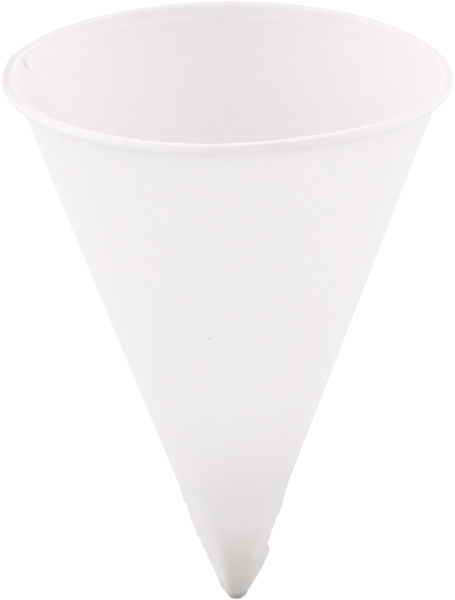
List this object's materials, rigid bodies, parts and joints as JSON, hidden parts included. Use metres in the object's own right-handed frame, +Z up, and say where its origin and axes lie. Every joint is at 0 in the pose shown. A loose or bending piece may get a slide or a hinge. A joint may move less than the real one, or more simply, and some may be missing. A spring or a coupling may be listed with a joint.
{
  "type": "cone paper cup",
  "caption": "Cone-shaped disposable paper cup with a rolled brim, a glued side lap and a wound, blunt tip, lying on its side.",
  "frame": {"origin": "Centre of the cup's bounding box, at the level of the floor that it lies on.", "axes": "+Z up. +Y along the floor, from the wound tip towards the brim. +X to the right in the picture, which looks straight down with +Y at its top. The cup's own axis rises 20.8 degrees from +Y."},
  "size_m": [0.073, 0.099, 0.0682],
  "materials": {
    "paper": "matt, uncoated white paper"
  },
  "bodies": {
    "root": {"cone_cup": "paper"}
  },
  "joints": []
}
